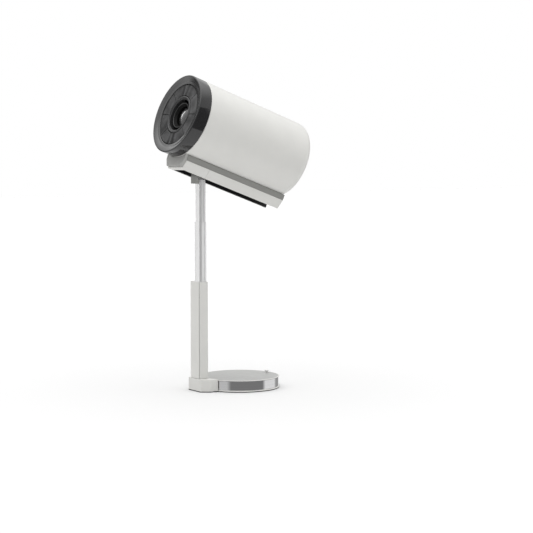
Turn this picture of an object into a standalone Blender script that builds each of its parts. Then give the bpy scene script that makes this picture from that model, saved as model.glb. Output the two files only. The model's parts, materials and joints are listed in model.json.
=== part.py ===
"""Axial air mover on a telescopic desk stand.

A cylindrical blower head is tilted on a three-stage telescopic mast, which stands at the rim of a
weighted round base.  The origin is the centre of the round base's underside, +Z is up and the
outlet faces -X.  Sizes are in metres, written as millimetres times MM.
"""

import math

import bmesh
import bpy

MM = 0.001
GAP = 0.3 * MM                      # clearance kept between neighbouring pieces

# ---- driving dimensions -------------------------------------------------------------------

# round base
BASE_RADIUS = 60.0 * MM
BASE_TOP = 17.6 * MM
BUTTON_X = 49.0 * MM
BALLAST_SCREW_CIRCLE = 46.0 * MM
MAST_X = -70.0 * MM                 # the mast stands just outside the base's rim

# foot block under the mast
FOOT_TOP = 19.0 * MM
FOOT_FRONT = -9.0 * MM              # from the mast's centre line
FOOT_FRONT_HALF = 18.5 * MM
FOOT_REACH = (54.0 * MM, 26.2 * MM)  # where the block's tips meet the base, from the base's centre
SPIGOT_HEIGHT = 12.0 * MM

# mast: half depths along X, and the span across Y of each stage
SLEEVE_HALF_X = 7.7 * MM
SLEEVE_HALF_Y = 12.8 * MM
SLEEVE_TOP = 162.7 * MM
SLEEVE_CORNER = 2.2 * MM
DUCT_CENTRE_Y = 8.5 * MM
TUBE_CENTRE_Y = -4.3 * MM           # the tubes run beside a cable duct
MIDDLE_HALF = (6.65 * MM, 7.1 * MM)
MIDDLE_WALL = 0.6 * MM
MIDDLE_BOTTOM = 138.0 * MM
MIDDLE_TOP = 251.0 * MM
UPPER_HALF = (5.75 * MM, 5.9 * MM)
UPPER_WALL = 1.0 * MM
UPPER_BOTTOM = 226.0 * MM
UPPER_TOP = 312.8 * MM
PLUG_LENGTH = 8.0 * MM
BRACKET_BOTTOM = 307.0 * MM

# head: the tilt pin in the head's own axes, where X runs to the rear and Z is square to it
PIVOT_HEIGHT = 317.13 * MM
PIVOT_BACK = 67.3 * MM              # behind the head's front face
PIVOT_DROP = 73.8 * MM              # below the head's axis
HEAD_TILT = math.radians(20.0)
HEAD_RADIUS = 59.5 * MM
HEAD_LENGTH = 210.0 * MM
BEZEL_DEPTH = 20.0 * MM
REAR_ROUND = 13.0 * MM

# hinge
PIN_RADIUS = 2.0 * MM
PIN_HALF = 17.4 * MM
BRACKET_HALF_X = 7.7 * MM
BRACKET_SIDES = (-9.8 * MM, 10.4 * MM)
BOSS_HALF_Y = 11.6 * MM
BOSS_RADIUS = 4.0 * MM
WASHER_OUTSIDE = 13.7 * MM

# cradle under the head, measured from the head's front face and from its axis
CRADLE_FRONT = 23.2 * MM
CRADLE_REAR = 203.7 * MM
CRADLE_WAIST = -63.2 * MM
CRADLE_BOTTOM = -76.3 * MM
CRADLE_NECK_HALF = 26.0 * MM
CRADLE_WAIST_HALF = 25.3 * MM
CRADLE_BOTTOM_HALF = 17.5 * MM
CAP_THICKNESS = 2.0 * MM
LIP_HEIGHT = 2.4 * MM               # the white tray shows below the front cap
CHANNEL_HALF = 15.5 * MM
CHANNEL_FRONT = 31.0 * MM

# air path
DUCT_RADIUS = 50.0 * MM
OUTLET_RADIUS = 24.0 * MM
BARREL_RADIUS = 19.4 * MM
BLADE_TIP = 48.4 * MM
BLADE_COUNT = 7
BLADE_FLATTENING = 0.72             # keeps the pitched blades short along the axis
ROTOR_MIDDLE = 135.5 * MM           # behind the head's front face
VANE_COUNT = 9
SEGMENT_COUNT = 8
GRILLE_SCREW_CIRCLE = 42.2 * MM

# segments around turned pieces
FINE = 48
MEDIUM = 28
COARSE = 14


# ---- materials ----------------------------------------------------------------------------

def finish(name, colour, roughness, metallic=0.0):
    """Return a Principled material."""
    material = bpy.data.materials.new(name)
    material.use_nodes = True
    shader = material.node_tree.nodes["Principled BSDF"]
    shader.inputs["Base Color"].default_value = (*colour, 1.0)
    shader.inputs["Roughness"].default_value = roughness
    shader.inputs["Metallic"].default_value = metallic
    material.diffuse_color = (*colour, 1.0)
    return material


for old in list(bpy.data.objects):
    bpy.data.objects.remove(old)

WHITE = finish("white_plastic", (0.72, 0.72, 0.70), 0.42)
WARM_GREY = finish("warm_grey_plastic", (0.28, 0.28, 0.26), 0.5)
SMOKED = finish("smoked_gloss", (0.05, 0.05, 0.052), 0.15)
BLACK = finish("black_plastic", (0.012, 0.012, 0.013), 0.45)
SATIN_GREY = finish("satin_grey", (0.15, 0.15, 0.155), 0.25)
ALUMINIUM = finish("polished_aluminium", (0.78, 0.79, 0.80), 0.16, 1.0)
CHROME = finish("chrome", (0.75, 0.75, 0.76), 0.06, 1.0)
PLATE_GREY = finish("light_grey_plate", (0.46, 0.46, 0.45), 0.4)
STEEL = finish("steel", (0.45, 0.45, 0.46), 0.35, 1.0)
RUBBER = finish("rubber", (0.02, 0.02, 0.02), 0.9)
GLASS = finish("lens_glass", (0.20, 0.21, 0.22), 0.05)
BOARD = finish("circuit_board", (0.02, 0.12, 0.05), 0.5)


# ---- frames -------------------------------------------------------------------------------

def frame(name, location, rotation=(0.0, 0.0, 0.0), parent=None):
    """Return an empty that other objects are placed in."""
    empty = bpy.data.objects.new(name, None)
    bpy.context.scene.collection.objects.link(empty)
    empty.location = location
    empty.rotation_euler = rotation
    empty.parent = parent
    return empty


MAST = frame("mast_frame", (MAST_X, 0.0, 0.0))
PIVOT = frame("tilt_frame", (0.0, 0.0, PIVOT_HEIGHT), (0.0, HEAD_TILT, 0.0), MAST)
HEAD_AXIS = (-PIVOT_BACK, 0.0, PIVOT_DROP)


# ---- building blocks ----------------------------------------------------------------------

def add(name, mesh_builder, material, parent=None, location=(0.0, 0.0, 0.0)):
    """Turn a filled bmesh into a named object."""
    bmesh.ops.remove_doubles(mesh_builder, verts=mesh_builder.verts, dist=1e-7)
    bmesh.ops.recalc_face_normals(mesh_builder, faces=mesh_builder.faces)
    mesh = bpy.data.meshes.new(name)
    mesh_builder.to_mesh(mesh)
    mesh_builder.free()
    mesh.materials.append(material)
    mesh.shade_smooth()
    mesh.set_sharp_from_angle(angle=math.radians(35.0))
    made = bpy.data.objects.new(name, mesh)
    bpy.context.scene.collection.objects.link(made)
    made.parent = parent
    made.location = location
    return made


def turned_shape(builder, profile, steps, axis):
    """Spin a closed (along, radius) outline about X, Y or Z."""
    rings = []
    for along, radius in profile:
        ring = []
        for step in range(steps if radius > 0.0 else 1):
            angle = 2.0 * math.pi * step / steps
            first = radius * math.cos(angle)
            second = radius * math.sin(angle)
            corner = {
                "X": (along, first, second),
                "Y": (second, along, first),
                "Z": (first, second, along),
            }[axis]
            ring.append(builder.verts.new(corner))
        rings.append(ring)
    for here, there in zip(rings, rings[1:] + rings[:1]):
        if len(here) == 1 and len(there) == 1:
            continue
        for step in range(steps):
            after = (step + 1) % steps
            corners = [
                here[step % len(here)],
                here[after % len(here)],
                there[after % len(there)],
                there[step % len(there)],
            ]
            builder.faces.new(list(dict.fromkeys(corners)))


def turned(name, profile, material, steps=FINE, axis="X", parent=PIVOT, location=HEAD_AXIS):
    """Make a turned piece from a closed outline."""
    builder = bmesh.new()
    turned_shape(builder, profile, steps, axis)
    return add(name, builder, material, parent, location)


def prism_shape(builder, outline, low, high, axis):
    """Extrude a closed 2D outline along X (outline in Y, Z), Y (X, Z) or Z (X, Y)."""
    place = {
        "X": lambda point, along: (along, point[0], point[1]),
        "Y": lambda point, along: (point[0], along, point[1]),
        "Z": lambda point, along: (point[0], point[1], along),
    }[axis]
    ends = [[builder.verts.new(place(point, along)) for point in outline] for along in (low, high)]
    for end in ends:
        builder.faces.new(end)
    count = len(outline)
    for index in range(count):
        after = (index + 1) % count
        builder.faces.new((ends[0][index], ends[0][after], ends[1][after], ends[1][index]))


def prism(name, outline, low, high, material, axis="Z", parent=None, location=(0.0, 0.0, 0.0)):
    """Make an extruded piece."""
    builder = bmesh.new()
    prism_shape(builder, outline, low, high, axis)
    return add(name, builder, material, parent, location)


def arc(centre, radius, start, end, steps):
    """Points on an arc, angles in degrees."""
    points = []
    for step in range(steps + 1):
        angle = math.radians(start + (end - start) * step / steps)
        points.append((centre[0] + radius * math.cos(angle), centre[1] + radius * math.sin(angle)))
    return points


def rounded_rectangle(half_x, half_y, radius, centre_y=0.0, steps=3):
    """Outline of a rectangle with round corners, about (0, centre_y)."""
    points = []
    for sign_x, sign_y, start in ((1, 1, 0.0), (-1, 1, 90.0), (-1, -1, 180.0), (1, -1, 270.0)):
        centre = (sign_x * (half_x - radius), centre_y + sign_y * (half_y - radius))
        points += arc(centre, radius, start, start + 90.0, steps)
    return points


def cut(target, cutter):
    """Subtract a cutter, which stays in the scene as a guide."""
    cutter.hide_render = True
    cutter.display_type = "WIRE"
    boolean = target.modifiers.new(cutter.name, "BOOLEAN")
    boolean.operation = "DIFFERENCE"
    boolean.solver = "EXACT"
    boolean.object = cutter


def join(target, addition):
    """Unite an addition with the target, and keep the addition as a guide."""
    addition.hide_render = True
    addition.display_type = "WIRE"
    boolean = target.modifiers.new(addition.name, "BOOLEAN")
    boolean.operation = "UNION"
    boolean.solver = "EXACT"
    boolean.object = addition


def polar_plate(name, radii, angles, is_solid, low, high, material):
    """Make a flat plate from polar cells about the head's axis; is_solid(band, sector) fills a cell."""
    builder = bmesh.new()
    bands = len(radii) - 1
    sectors = len(angles)
    corners = {}

    def corner(band, sector, along):
        key = (band, sector % sectors if radii[band] > 0.0 else 0, along)
        if key not in corners:
            angle = angles[sector % sectors]
            position = (along, radii[band] * math.cos(angle), radii[band] * math.sin(angle))
            corners[key] = builder.verts.new(position)
        return corners[key]

    def face(*points):
        unique = list(dict.fromkeys(points))
        if len(unique) > 2:
            builder.faces.new(unique)

    for band in range(bands):
        for sector in range(sectors):
            if not is_solid(band, sector):
                continue
            for along in (low, high):
                face(corner(band, sector, along), corner(band + 1, sector, along),
                     corner(band + 1, sector + 1, along), corner(band, sector + 1, along))
            if radii[band] > 0.0 and (band == 0 or not is_solid(band - 1, sector)):
                face(corner(band, sector, low), corner(band, sector + 1, low),
                     corner(band, sector + 1, high), corner(band, sector, high))
            if band == bands - 1 or not is_solid(band + 1, sector):
                face(corner(band + 1, sector, low), corner(band + 1, sector + 1, low),
                     corner(band + 1, sector + 1, high), corner(band + 1, sector, high))
            for side in (0, 1):
                neighbour = (sector + (1 if side else -1)) % sectors
                if not is_solid(band, neighbour):
                    edge = sector + side
                    face(corner(band, edge, low), corner(band + 1, edge, low),
                         corner(band + 1, edge, high), corner(band, edge, high))
    return add(name, builder, material, PIVOT, HEAD_AXIS)


def spoke_angles(count, spoke_degrees, cells_between):
    """Angles of sector edges: one narrow sector for each spoke, then equal sectors to the next."""
    angles = []
    for spoke in range(count):
        start = 360.0 * spoke / count - spoke_degrees / 2.0
        span = 360.0 / count - spoke_degrees
        angles.append(math.radians(start))
        for cell in range(cells_between):
            angles.append(math.radians(start + spoke_degrees + span * cell / cells_between))
    return angles


# ---- base ---------------------------------------------------------------------------------

def build_base():
    """Rubber ring, weighted pan, chrome band and top plate."""
    base = {"parent": None, "location": (0.0, 0.0, 0.0), "axis": "Z"}
    pad = [(0.0, 0.0), (0.0, 57.6 * MM), (0.6 * MM, 58.0 * MM), (1.5 * MM, 58.0 * MM), (1.5 * MM, 0.0)]
    turned("base_pad", pad, RUBBER, **base)
    pan = [(1.8 * MM, 0.0), (1.8 * MM, 58.3 * MM), (0.9 * MM, 58.3 * MM), (0.9 * MM, 59.2 * MM),
           (1.3 * MM, 59.6 * MM), (2.3 * MM, 59.6 * MM), (2.6 * MM, 59.3 * MM), (2.6 * MM, 56.6 * MM),
           (15.8 * MM, 56.6 * MM), (15.8 * MM, 54.2 * MM), (4.6 * MM, 54.2 * MM), (4.6 * MM, 0.0)]
    turned("base_pan", pan, WHITE, **base)
    band = [(2.9 * MM, 56.9 * MM), (2.9 * MM, 58.1 * MM), (3.3 * MM, 58.5 * MM), (15.6 * MM, 58.5 * MM),
            (16.0 * MM, 58.1 * MM), (16.0 * MM, 56.9 * MM)]
    turned("chrome_band", band, CHROME, **base)
    top_edge = BASE_TOP - 0.6 * MM
    plate = [(16.3 * MM, 0.0), (16.3 * MM, 59.6 * MM), (16.7 * MM, BASE_RADIUS), (top_edge, BASE_RADIUS),
             (BASE_TOP, 59.3 * MM), (BASE_TOP, 0.0)]
    top = turned("top_plate", plate, PLATE_GREY, **base)
    well = [(12.0 * MM, 0.0), (12.0 * MM, 2.7 * MM), (21.0 * MM, 2.7 * MM), (21.0 * MM, 0.0)]
    cut(top, turned("button_well_cutter", well, WHITE, COARSE, "Z", None, (BUTTON_X, 0.0, 0.0)))
    ballast = [(4.9 * MM, 0.0), (4.9 * MM, 53.5 * MM), (9.5 * MM, 53.5 * MM), (9.5 * MM, 0.0)]
    turned("ballast_plate", ballast, STEEL, steps=MEDIUM, **base)
    board = rounded_rectangle(24.0 * MM, 18.0 * MM, 2.0 * MM)
    prism("control_board", board, 10.0 * MM, 11.2 * MM, BOARD, location=(26.0 * MM, 0.0, 0.0))
    button = [(13.0 * MM, 0.0), (13.0 * MM, 2.2 * MM), (19.4 * MM, 2.2 * MM), (19.9 * MM, 3.2 * MM),
              (21.8 * MM, 3.2 * MM), (22.5 * MM, 2.6 * MM), (22.8 * MM, 0.0)]
    turned("power_button", button, PLATE_GREY, COARSE, "Z", None, (BUTTON_X, 0.0, 0.0))
    screw = [(10.0 * MM, 0.0), (10.0 * MM, 1.5 * MM), (14.0 * MM, 1.5 * MM), (14.0 * MM, 2.8 * MM),
             (15.6 * MM, 2.4 * MM), (15.9 * MM, 0.0)]
    for index in range(3):
        angle = math.radians(60.0 + 120.0 * index)
        place = (BALLAST_SCREW_CIRCLE * math.cos(angle), BALLAST_SCREW_CIRCLE * math.sin(angle), 0.0)
        turned(f"ballast_screw_{index + 1}", screw, STEEL, COARSE, "Z", None, place)


def build_foot():
    """Foot block at the mast's foot, shaped to the round base."""
    reach = BASE_RADIUS + GAP
    corner = math.degrees(math.atan2(FOOT_REACH[1], FOOT_REACH[0]))
    rear = arc((-MAST_X, 0.0), reach, 180.0 + corner, 180.0 - corner, 16)
    near = arc((7.5 * MM, -22.0 * MM), 6.4 * MM, 240.0, 300.0, 4)
    outline = [(FOOT_FRONT, FOOT_FRONT_HALF), (FOOT_FRONT, -FOOT_FRONT_HALF), *near, *rear]
    outline += [(x, -y) for x, y in reversed(near)]
    block = prism("foot_block", outline, 0.9 * MM, FOOT_TOP, WHITE, parent=MAST)
    bevel = block.modifiers.new("edge", "BEVEL")
    bevel.width = 0.5 * MM
    bevel.segments = 1
    bevel.angle_limit = math.radians(50.0)
    spigot = rounded_rectangle(MIDDLE_HALF[0] - GAP, MIDDLE_HALF[1] - GAP, 0.8 * MM, TUBE_CENTRE_Y)
    low, high = FOOT_TOP - 2.0 * MM, FOOT_TOP + SPIGOT_HEIGHT
    join(block, prism("foot_spigot_guide", spigot, low, high, WHITE, parent=MAST))
    recess = rounded_rectangle(6.6 * MM, 14.0 * MM, 1.0 * MM)
    cut(block, prism("foot_pad_cutter", recess, -1.0 * MM, 1.8 * MM, WHITE, parent=MAST))
    pad = rounded_rectangle(6.2 * MM, 13.6 * MM, 0.8 * MM)
    prism("foot_pad", pad, 0.0, 1.5 * MM, RUBBER, parent=MAST)


# ---- mast ---------------------------------------------------------------------------------

def hollow(name, half, wall, corner, low, high, material):
    """Rectangular tube about the tubes' centre line, open at both ends."""
    outer = rounded_rectangle(half[0], half[1], corner, TUBE_CENTRE_Y)
    tube = prism(name, outer, low, high, material, parent=MAST)
    inner = rounded_rectangle(half[0] - wall, half[1] - wall, corner * 0.5, TUBE_CENTRE_Y)
    cut(tube, prism(f"{name}_bore_cutter", inner, low - MM, high + MM, material, parent=MAST))
    return tube


def build_mast():
    """Outer sleeve with its cable duct, and two sliding tubes."""
    bottom = FOOT_TOP + GAP
    outline = rounded_rectangle(SLEEVE_HALF_X, SLEEVE_HALF_Y, SLEEVE_CORNER)
    sleeve = prism("outer_sleeve", outline, bottom, SLEEVE_TOP, WHITE, parent=MAST)
    pocket = rounded_rectangle(MIDDLE_HALF[0] + GAP, MIDDLE_HALF[1] + GAP, 0.9 * MM, TUBE_CENTRE_Y)
    cut(sleeve, prism("sleeve_bore_cutter", pocket, 0.0, SLEEVE_TOP + MM, WHITE, parent=MAST))
    duct = rounded_rectangle(5.6 * MM, 2.6 * MM, 0.8 * MM, DUCT_CENTRE_Y)
    cut(sleeve, prism("cable_duct_cutter", duct, 0.0, SLEEVE_TOP - 3.0 * MM, WHITE, parent=MAST))
    hollow("middle_tube", MIDDLE_HALF, MIDDLE_WALL, 1.5 * MM, MIDDLE_BOTTOM, MIDDLE_TOP, ALUMINIUM)
    hollow("upper_tube", UPPER_HALF, UPPER_WALL, 1.3 * MM, UPPER_BOTTOM, UPPER_TOP, ALUMINIUM)
    for name, half, wall, low in (("middle_end_plug", MIDDLE_HALF, MIDDLE_WALL, MIDDLE_BOTTOM),
                                  ("upper_end_plug", UPPER_HALF, UPPER_WALL, UPPER_BOTTOM)):
        inset = wall + GAP
        plug = rounded_rectangle(half[0] - inset, half[1] - inset, 0.8 * MM, TUBE_CENTRE_Y)
        prism(name, plug, low, low + PLUG_LENGTH, BLACK, parent=MAST)


def build_hinge():
    """Tilt bracket on the mast's top, its pin and two friction washers."""
    half = BRACKET_HALF_X
    step = UPPER_HALF[0]
    seat = UPPER_TOP + GAP
    crown = arc((0.0, PIVOT_HEIGHT), half, 0.0, 180.0, 10)
    outline = [*crown, (-half, BRACKET_BOTTOM), (step, BRACKET_BOTTOM), (step, seat)]
    bracket = prism("tilt_bracket", outline, *BRACKET_SIDES, WARM_GREY, "Y", MAST)
    near, far = -2.0 * SLEEVE_HALF_Y, TUBE_CENTRE_Y + UPPER_HALF[1] + GAP
    corner = (-UPPER_HALF[0] - GAP, 2.0 * half)
    socket = [(corner[0], near), (corner[1], near), (corner[1], far), (corner[0], far)]
    cut(bracket, prism("tube_socket_cutter", socket, BRACKET_BOTTOM - MM, seat, WARM_GREY, parent=MAST))
    pivot = {"steps": COARSE, "axis": "Y", "parent": MAST, "location": (0.0, 0.0, PIVOT_HEIGHT)}
    boss = [(-BOSS_HALF_Y, 0.0), (-BOSS_HALF_Y, BOSS_RADIUS), (BOSS_HALF_Y, BOSS_RADIUS), (BOSS_HALF_Y, 0.0)]
    join(bracket, turned("bracket_boss_guide", boss, WARM_GREY, **pivot))
    hole = PIN_RADIUS + GAP
    bore = [(-PIN_HALF, 0.0), (-PIN_HALF, hole), (PIN_HALF, hole), (PIN_HALF, 0.0)]
    cut(bracket, turned("bracket_bore_cutter", bore, STEEL, **pivot))

    pivot.update(parent=PIVOT, location=(0.0, 0.0, 0.0))
    pin = [(-PIN_HALF, 0.0), (-PIN_HALF, PIN_RADIUS), (PIN_HALF, PIN_RADIUS), (PIN_HALF, 0.0)]
    turned("tilt_pin", pin, STEEL, **pivot)
    for side, sign in (("left", -1.0), ("right", 1.0)):
        inside = sign * (BOSS_HALF_Y + GAP)
        outside = sign * WASHER_OUTSIDE
        washer = [(inside, hole), (inside, BOSS_RADIUS), (outside, BOSS_RADIUS), (outside, hole)]
        turned(f"friction_washer_{side}", washer, STEEL, **pivot)


# ---- cradle -------------------------------------------------------------------------------

def saddle_arc():
    """The cradle's seat: an arc just clear of the head's shell, from +Y to -Y."""
    radius = HEAD_RADIUS + GAP
    reach = math.degrees(math.asin(CRADLE_NECK_HALF / radius))
    return arc((0.0, 0.0), radius, -90.0 + reach, -90.0 - reach, 12)


def tray_half(height):
    """Half width of the tray, which narrows from its waist to its underside."""
    share = (height - CRADLE_BOTTOM) / (CRADLE_WAIST - CRADLE_BOTTOM)
    return CRADLE_BOTTOM_HALF + (CRADLE_WAIST_HALF - CRADLE_BOTTOM_HALF) * share


def tray_section(top):
    """Outline of the tray from its underside up to the given height."""
    half = tray_half(top)
    foot = CRADLE_BOTTOM_HALF
    return [(-half, top), (-foot, CRADLE_BOTTOM), (foot, CRADLE_BOTTOM), (half, top)]


def build_cradle():
    """Grey saddle and front cap, white two-piece tray and the black channel in it."""
    seat = saddle_arc()
    waist = CRADLE_WAIST_HALF
    head = {"axis": "X", "parent": PIVOT, "location": HEAD_AXIS}
    inside = CRADLE_FRONT + CAP_THICKNESS + GAP
    saddle = [*seat, (-waist, CRADLE_WAIST + GAP), (waist, CRADLE_WAIST + GAP)]
    prism("cradle_saddle", saddle, inside, CRADLE_REAR, WARM_GREY, **head)
    lip_top = CRADLE_BOTTOM + LIP_HEIGHT
    cap_half = tray_half(lip_top + GAP)
    cap = [*seat, (-waist, CRADLE_WAIST), (-cap_half, lip_top + GAP), (cap_half, lip_top + GAP),
           (waist, CRADLE_WAIST)]
    prism("cradle_front_cap", cap, CRADLE_FRONT, CRADLE_FRONT + CAP_THICKNESS, WARM_GREY, **head)

    front = prism("tray_front", tray_section(CRADLE_WAIST), inside, PIVOT_BACK - GAP / 2, WHITE, **head)
    rear = prism("tray_rear", tray_section(CRADLE_WAIST), PIVOT_BACK + GAP / 2, CRADLE_REAR, WHITE, **head)
    lip = prism("tray_lip_guide", tray_section(lip_top), CRADLE_FRONT, inside + 1.5 * MM, WHITE, **head)
    join(front, lip)
    ceiling = CRADLE_WAIST - 1.1 * MM
    below = CRADLE_BOTTOM - 10.0 * MM
    wide = CHANNEL_HALF
    slot = [(-wide, ceiling), (-wide, below), (wide, below), (wide, ceiling)]
    channel = prism("tray_channel_cutter", slot, CHANNEL_FRONT, CRADLE_REAR + 5.0 * MM, BLACK, **head)
    hole = PIN_RADIUS + GAP
    end = PIN_HALF + GAP
    bore = [(-end, 0.0), (-end, hole), (end, hole), (end, 0.0)]
    pin_bore = turned("tray_bore_cutter", bore, STEEL, COARSE, "Y", PIVOT, (0.0, 0.0, 0.0))
    for half in (front, rear):
        cut(half, channel)
        cut(half, pin_bore)

    outer = CHANNEL_HALF - GAP
    inner = 14.0 * MM
    top = ceiling - GAP
    low = CRADLE_BOTTOM + 0.3 * MM
    roof = top - 0.8 * MM
    section = [(-outer, top), (-outer, low), (-inner, low), (-inner, roof), (inner, roof), (inner, low),
               (outer, low), (outer, top)]
    liner = prism("channel_liner", section, CHANNEL_FRONT + GAP, CRADLE_REAR - GAP, BLACK, **head)
    cut(liner, pin_bore)


# ---- head ---------------------------------------------------------------------------------

def build_casing():
    """Body shell, bezel and the eight-segment face around the outlet."""
    wall = 2.5 * MM
    turn = HEAD_LENGTH - REAR_ROUND
    outside = arc((turn, HEAD_RADIUS - REAR_ROUND), REAR_ROUND, 90.0, 0.0, 7)
    inside = arc((turn, HEAD_RADIUS - REAR_ROUND), REAR_ROUND - wall, 0.0, 90.0, 5)
    rim = 45.0 * MM
    front = BEZEL_DEPTH + GAP
    shell = [(front, HEAD_RADIUS), *outside, (HEAD_LENGTH, rim), (HEAD_LENGTH - wall, rim), *inside,
             (front, HEAD_RADIUS - wall)]
    turned("body_shell", shell, WHITE)

    lip = 4.5 * MM
    nose = arc((lip, HEAD_RADIUS - lip), lip, 90.0, 180.0, 4)
    bezel = [(BEZEL_DEPTH, HEAD_RADIUS), *nose, (4.2 * MM, 46.9 * MM), (9.0 * MM, 46.9 * MM),
             (9.0 * MM, 53.0 * MM), (12.0 * MM, 56.9 * MM), (BEZEL_DEPTH, 56.9 * MM)]
    turned("front_bezel", bezel, SMOKED)

    ring = [(4.0 * MM, 45.9 * MM), (4.0 * MM, 29.2 * MM), (6.5 * MM, 29.2 * MM), (6.5 * MM, 45.9 * MM)]
    face = turned("segment_ring", ring, SATIN_GREY)
    builder = bmesh.new()
    groove = 0.35 * MM
    for index in range(SEGMENT_COUNT):
        angle = 2.0 * math.pi * index / SEGMENT_COUNT
        along = (math.cos(angle), math.sin(angle))
        corners = []
        for distance, side in ((28.0 * MM, -1), (48.0 * MM, -1), (48.0 * MM, 1), (28.0 * MM, 1)):
            corners.append((distance * along[0] - side * groove * along[1],
                            distance * along[1] + side * groove * along[0]))
        prism_shape(builder, corners, 3.0 * MM, 4.7 * MM, "X")
    cut(face, add("segment_groove_cutter", builder, BLACK, PIVOT, HEAD_AXIS))

    trim = [(9.0 * MM, 28.7 * MM), (4.2 * MM, 28.7 * MM), (3.2 * MM, 27.9 * MM), (3.2 * MM, 25.2 * MM),
            (4.4 * MM, OUTLET_RADIUS), (12.0 * MM, OUTLET_RADIUS), (12.0 * MM, 26.5 * MM),
            (9.0 * MM, 26.5 * MM)]
    turned("outlet_ring", trim, SATIN_GREY)


def nozzle_curve(share):
    """Radius of the nozzle wall between the outlet (0) and the duct (1)."""
    ease = 0.5 - 0.5 * math.cos(math.pi * share)
    return OUTLET_RADIUS + (DUCT_RADIUS - OUTLET_RADIUS) * ease


def build_air_path():
    """Nozzle, inner barrel with its lens, fan duct and rear bulkhead."""
    start, end, wall = 12.3 * MM, 84.0 * MM, 2.0 * MM
    steps = 7
    inner = [(start + (end - start) * i / steps, nozzle_curve(i / steps)) for i in range(steps + 1)]
    outer = [(x, radius + wall) for x, radius in reversed(inner)]
    turned("nozzle_duct", inner + outer, BLACK, MEDIUM)

    barrel = [(7.5 * MM, 18.7 * MM), (8.2 * MM, BARREL_RADIUS), (92.0 * MM, BARREL_RADIUS),
              (92.0 * MM, 17.4 * MM), (18.2 * MM, 17.4 * MM), (18.2 * MM, 13.0 * MM), (17.0 * MM, 13.0 * MM),
              (17.0 * MM, 15.3 * MM), (10.0 * MM, 15.3 * MM), (7.5 * MM, 17.6 * MM)]
    turned("centre_barrel", barrel, BLACK, MEDIUM)
    dome = arc((39.75 * MM, 0.0), 28.75 * MM, 180.0, 180.0 - math.degrees(math.asin(14.0 / 28.75)), 5)
    lens = [*dome, (16.7 * MM, 15.0 * MM), (16.7 * MM, 0.0)]
    turned("dome_lens", lens, GLASS, MEDIUM)

    duct = [(84.3 * MM, DUCT_RADIUS), (84.3 * MM, 52.0 * MM), (176.0 * MM, 52.0 * MM),
            (190.0 * MM, 56.4 * MM), (192.0 * MM, 56.4 * MM), (192.0 * MM, 55.0 * MM),
            (177.0 * MM, DUCT_RADIUS)]
    turned("fan_duct", duct, BLACK, MEDIUM)


def build_fan():
    """Guide vanes that carry the motor, the motor, its bearings, shaft and rotor."""
    angles = spoke_angles(VANE_COUNT, 3.4, 3)
    spokes = range(0, len(angles), 4)
    polar_plate("guide_vanes", [16.3 * MM, 20.2 * MM, 47.4 * MM, 49.6 * MM], angles,
                lambda band, sector: band != 1 or sector in spokes, 92.3 * MM, 112.0 * MM, BLACK)

    motor = [(93.0 * MM, 0.0), (93.0 * MM, 13.0 * MM), (94.5 * MM, 15.9 * MM), (120.0 * MM, 15.9 * MM),
             (121.5 * MM, 14.0 * MM), (121.5 * MM, 5.4 * MM), (118.2 * MM, 5.4 * MM), (118.2 * MM, 2.4 * MM),
             (103.6 * MM, 2.4 * MM), (103.6 * MM, 5.4 * MM), (100.0 * MM, 5.4 * MM), (100.0 * MM, 0.0)]
    turned("motor", motor, STEEL, MEDIUM)
    for name, low in (("bearing_front", 100.3 * MM), ("bearing_rear", 118.5 * MM)):
        ring = [(low, 2.3 * MM), (low, 5.1 * MM), (low + 3.0 * MM, 5.1 * MM), (low + 3.0 * MM, 2.3 * MM)]
        turned(name, ring, STEEL, COARSE)
    shaft = [(100.6 * MM, 0.0), (100.6 * MM, 2.0 * MM), (152.0 * MM, 2.0 * MM), (152.0 * MM, 0.0)]
    turned("motor_shaft", shaft, STEEL, COARSE)

    hub = [(124.0 * MM, 2.3 * MM), (124.0 * MM, 19.4 * MM), (146.0 * MM, 19.4 * MM), (151.0 * MM, 15.0 * MM),
           (151.0 * MM, 2.3 * MM)]
    rotor = turned("fan_rotor", hub, SATIN_GREY, MEDIUM)
    for index in range(BLADE_COUNT):
        join(rotor, fan_blade(index))
    nut = [(152.3 * MM, 0.0), (152.3 * MM, 6.0 * MM), (155.0 * MM, 5.4 * MM), (156.0 * MM, 0.0)]
    turned("rotor_cap", nut, STEEL, COARSE)


def fan_blade(index):
    """One twisted blade, as a lofted plate from inside the hub to the tip."""
    builder = bmesh.new()
    stations = 3
    chord_steps = 3
    thickness = 1.6 * MM
    root = 17.6 * MM
    sheets = {}
    for station in range(stations + 1):
        share = station / stations
        radius = root + (BLADE_TIP - root) * share
        pitch = math.radians(52.0 - 24.0 * share)
        chord = (22.0 + 8.0 * share) * MM
        middle = 2.0 * math.pi * index / BLADE_COUNT + 0.18 * share
        for step in range(chord_steps + 1):
            along = chord * (step / chord_steps - 0.5)
            sweep = middle + along * math.cos(pitch) / radius
            for side in (-1, 1):
                x = ROTOR_MIDDLE + along * math.sin(pitch) * BLADE_FLATTENING + side * thickness / 2
                corner = (x, radius * math.cos(sweep), radius * math.sin(sweep))
                sheets[station, step, side] = builder.verts.new(corner)

    def quad(*keys):
        builder.faces.new([sheets[key] for key in keys])

    for station in range(stations):
        for step in range(chord_steps):
            for side in (-1, 1):
                quad((station, step, side), (station, step + 1, side), (station + 1, step + 1, side),
                     (station + 1, step, side))
        for step in (0, chord_steps):
            quad((station, step, -1), (station + 1, step, -1), (station + 1, step, 1), (station, step, 1))
    for step in range(chord_steps):
        for station in (0, stations):
            quad((station, step, -1), (station, step + 1, -1), (station, step + 1, 1), (station, step, 1))
    return add(f"blade_guide_{index + 1}", builder, SATIN_GREY, PIVOT, HEAD_AXIS)


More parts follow.
